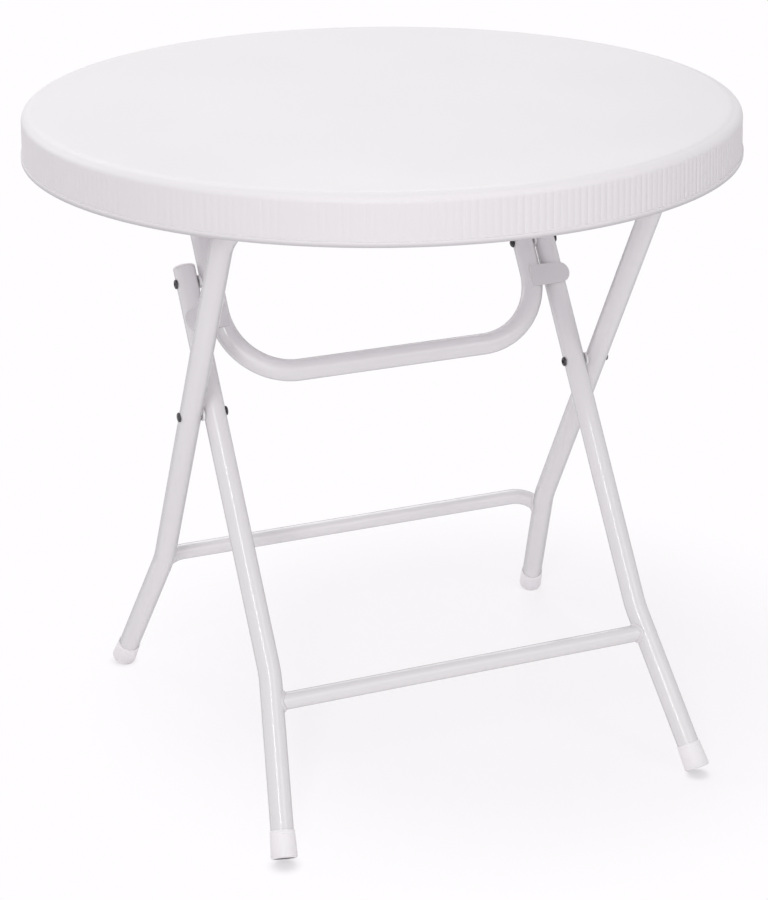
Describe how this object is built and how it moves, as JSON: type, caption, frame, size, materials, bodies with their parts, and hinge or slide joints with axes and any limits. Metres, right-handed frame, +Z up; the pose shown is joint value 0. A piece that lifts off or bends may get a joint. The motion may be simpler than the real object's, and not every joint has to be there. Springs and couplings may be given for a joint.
{
  "type": "folding garden table",
  "caption": "Round folding garden table: moulded top with a deep skirt on crossed tube legs that fold flat, held open by a U-shaped lock bar.",
  "frame": {"origin": "on the floor below the centre of the round top, with the table open", "axes": "+X along the crossbars and hinge lines, +Y to the rear, towards the feet of the one-piece frame, +Z up"},
  "size_m": [0.8, 0.8, 0.735],
  "materials": {
    "top_plastic": "white moulded polypropylene, fine satin grain",
    "coated_tube": "white powder coat, satin",
    "coated_steel": "white powder coat over bent sheet, satin",
    "foot_plastic": "white moulded plastic, fine grain",
    "spacer_plastic": "natural white nylon",
    "dark_steel": "dark oxide steel",
    "zinc_steel": "zinc plated steel"
  },
  "bodies": {
    "table": {"table_top": "top_plastic", "strap_screws": "zinc_steel", "bracket_screws": "zinc_steel", "frame_strap_left": "coated_steel", "frame_strap_right": "coated_steel", "lock_bracket_left": "coated_steel", "lock_bracket_right": "coated_steel", "lock_hinge_rivet_left": "zinc_steel", "lock_hinge_rivet_right": "zinc_steel"},
    "rear_frame": {"rear_frame_tube": "coated_tube", "rear_crossbar": "coated_tube", "rear_weld_beads": "coated_tube", "rear_foot_left": "foot_plastic", "rear_foot_right": "foot_plastic", "crossing_bolt_left": "dark_steel", "crossing_bolt_right": "dark_steel", "crossing_spacer_left": "spacer_plastic", "crossing_spacer_right": "spacer_plastic"},
    "front_frame": {"front_leg_left": "coated_tube", "front_leg_right": "coated_tube", "front_leg_plug_left": "foot_plastic", "front_leg_plug_right": "foot_plastic", "front_crossbar": "coated_tube", "front_weld_beads": "coated_tube", "front_foot_left": "foot_plastic", "front_foot_right": "foot_plastic", "lock_pivot_bolt_left": "dark_steel", "lock_pivot_bolt_right": "dark_steel"},
    "lock_bar": {"lock_bar": "coated_tube", "lock_arm_plug_left": "foot_plastic", "lock_arm_plug_right": "foot_plastic", "lock_stop_left": "coated_steel", "lock_stop_right": "coated_steel", "lock_pivot_nut_left": "dark_steel", "lock_pivot_nut_right": "dark_steel", "lock_pivot_spacer_left": "spacer_plastic", "lock_pivot_spacer_right": "spacer_plastic"}
  },
  "joints": [
    {"name": "rear_frame_fold", "type": "hinge", "parent": "table", "child": "rear_frame", "pos_m": [0, -0.21169, 0.69], "axis": [1, 0, 0], "range_deg": [0, 55]},
    {"name": "front_frame_fold", "type": "hinge", "parent": "rear_frame", "child": "front_frame", "pos_m": [0, -0.0451, 0.40888], "axis": [1, 0, 0], "range_deg": [0, 65.8]},
    {"name": "lock_bar_fold", "type": "hinge", "parent": "table", "child": "lock_bar", "pos_m": [0, 0.15449, 0.69], "axis": [1, 0, 0], "range_deg": [-50.9, 0]}
  ],
  "couplings": [
    {"joint": "front_frame_fold", "follows": "rear_frame_fold", "ratio": 1.196},
    {"joint": "lock_bar_fold", "follows": "rear_frame_fold", "ratio": -0.9251}
  ]
}
